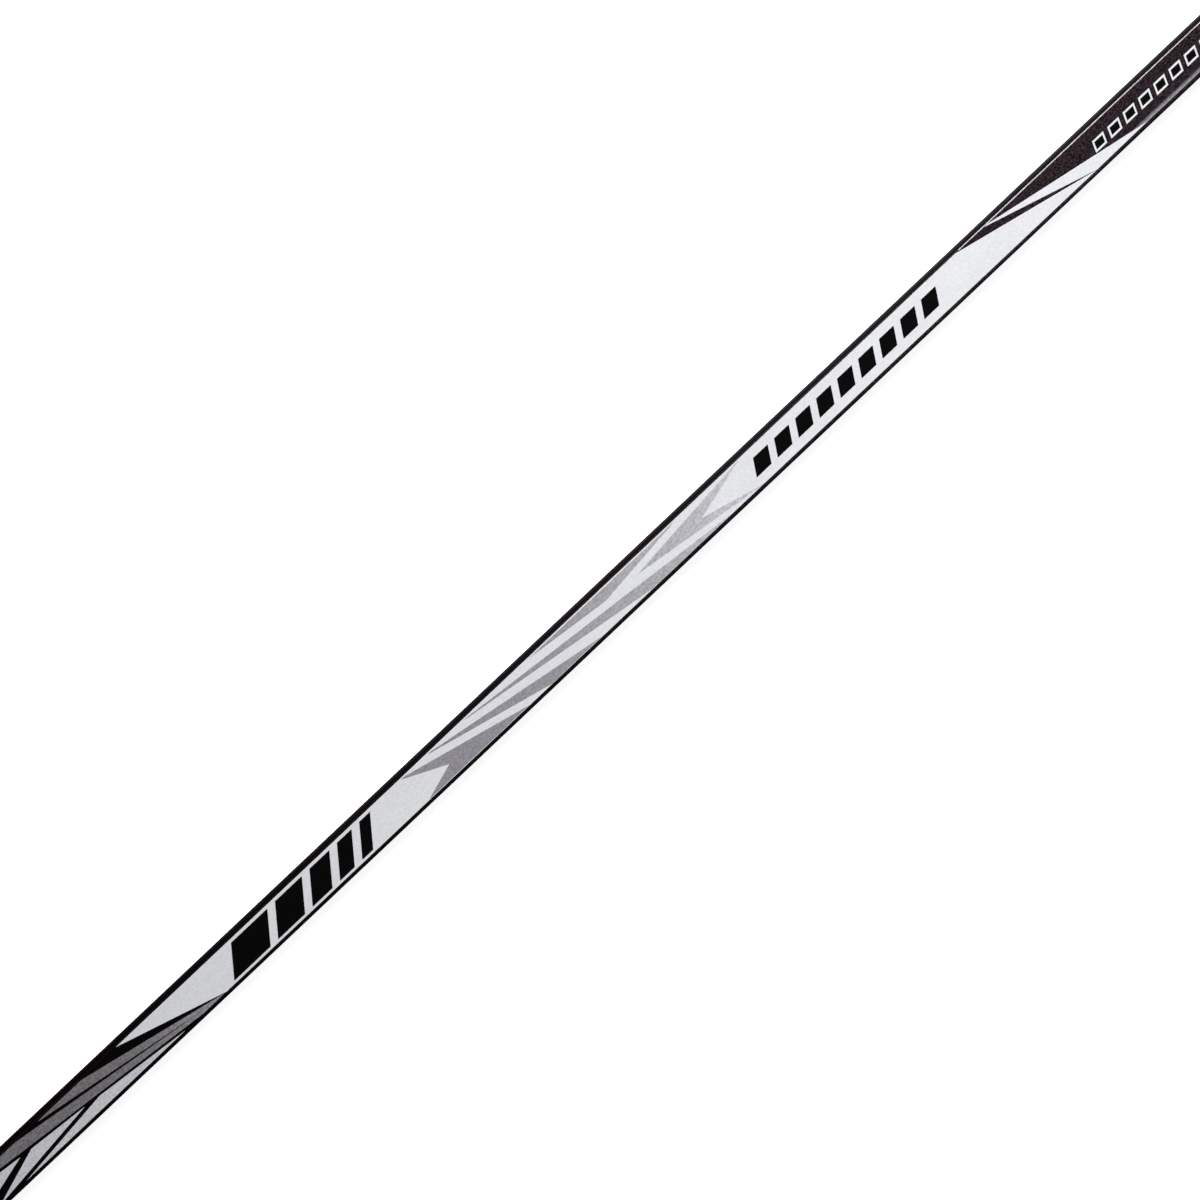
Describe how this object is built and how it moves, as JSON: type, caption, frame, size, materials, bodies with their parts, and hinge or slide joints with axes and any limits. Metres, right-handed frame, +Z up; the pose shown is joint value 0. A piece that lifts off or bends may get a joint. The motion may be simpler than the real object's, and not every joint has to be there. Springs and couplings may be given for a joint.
{
  "type": "ringette stick",
  "caption": "Straight laminated ringette stick: rectangular printed shaft, tapered grooved plastic tip at one end and a moulded cap at the butt.",
  "frame": {"origin": "mid-length of the stick, in the middle of the back face that it lies on", "axes": "+X along the stick towards the butt, +Y across the wide faces, +Z up through the thickness towards the front face"},
  "size_m": [1.5, 0.03, 0.02],
  "materials": {
    "aspen_ply": "sanded, black lacquer on the outer edges",
    "birch_ply": "sanded, black lacquer on the outer edges",
    "glass_skin": "glass cloth in clear resin, black lacquer on the outer edges",
    "print_film": "printed black, silver-white and grey under clear gloss lacquer",
    "tip_nylon": "moulded, fine satin grain",
    "rivet_metal": "turned and pressed",
    "cap_rubber": "moulded, matte"
  },
  "bodies": {
    "root": {"core_ply": "aspen_ply", "front_inner_ply": "aspen_ply", "back_inner_ply": "aspen_ply", "front_middle_ply": "birch_ply", "back_middle_ply": "birch_ply", "front_outer_ply": "birch_ply", "back_outer_ply": "birch_ply", "front_glass_skin": "glass_skin", "back_glass_skin": "glass_skin", "front_print_film": "print_film", "back_print_film": "print_film", "tip": "tip_nylon", "tip_rivet_1": "rivet_metal", "tip_rivet_2": "rivet_metal", "butt_cap": "cap_rubber"}
  },
  "joints": []
}
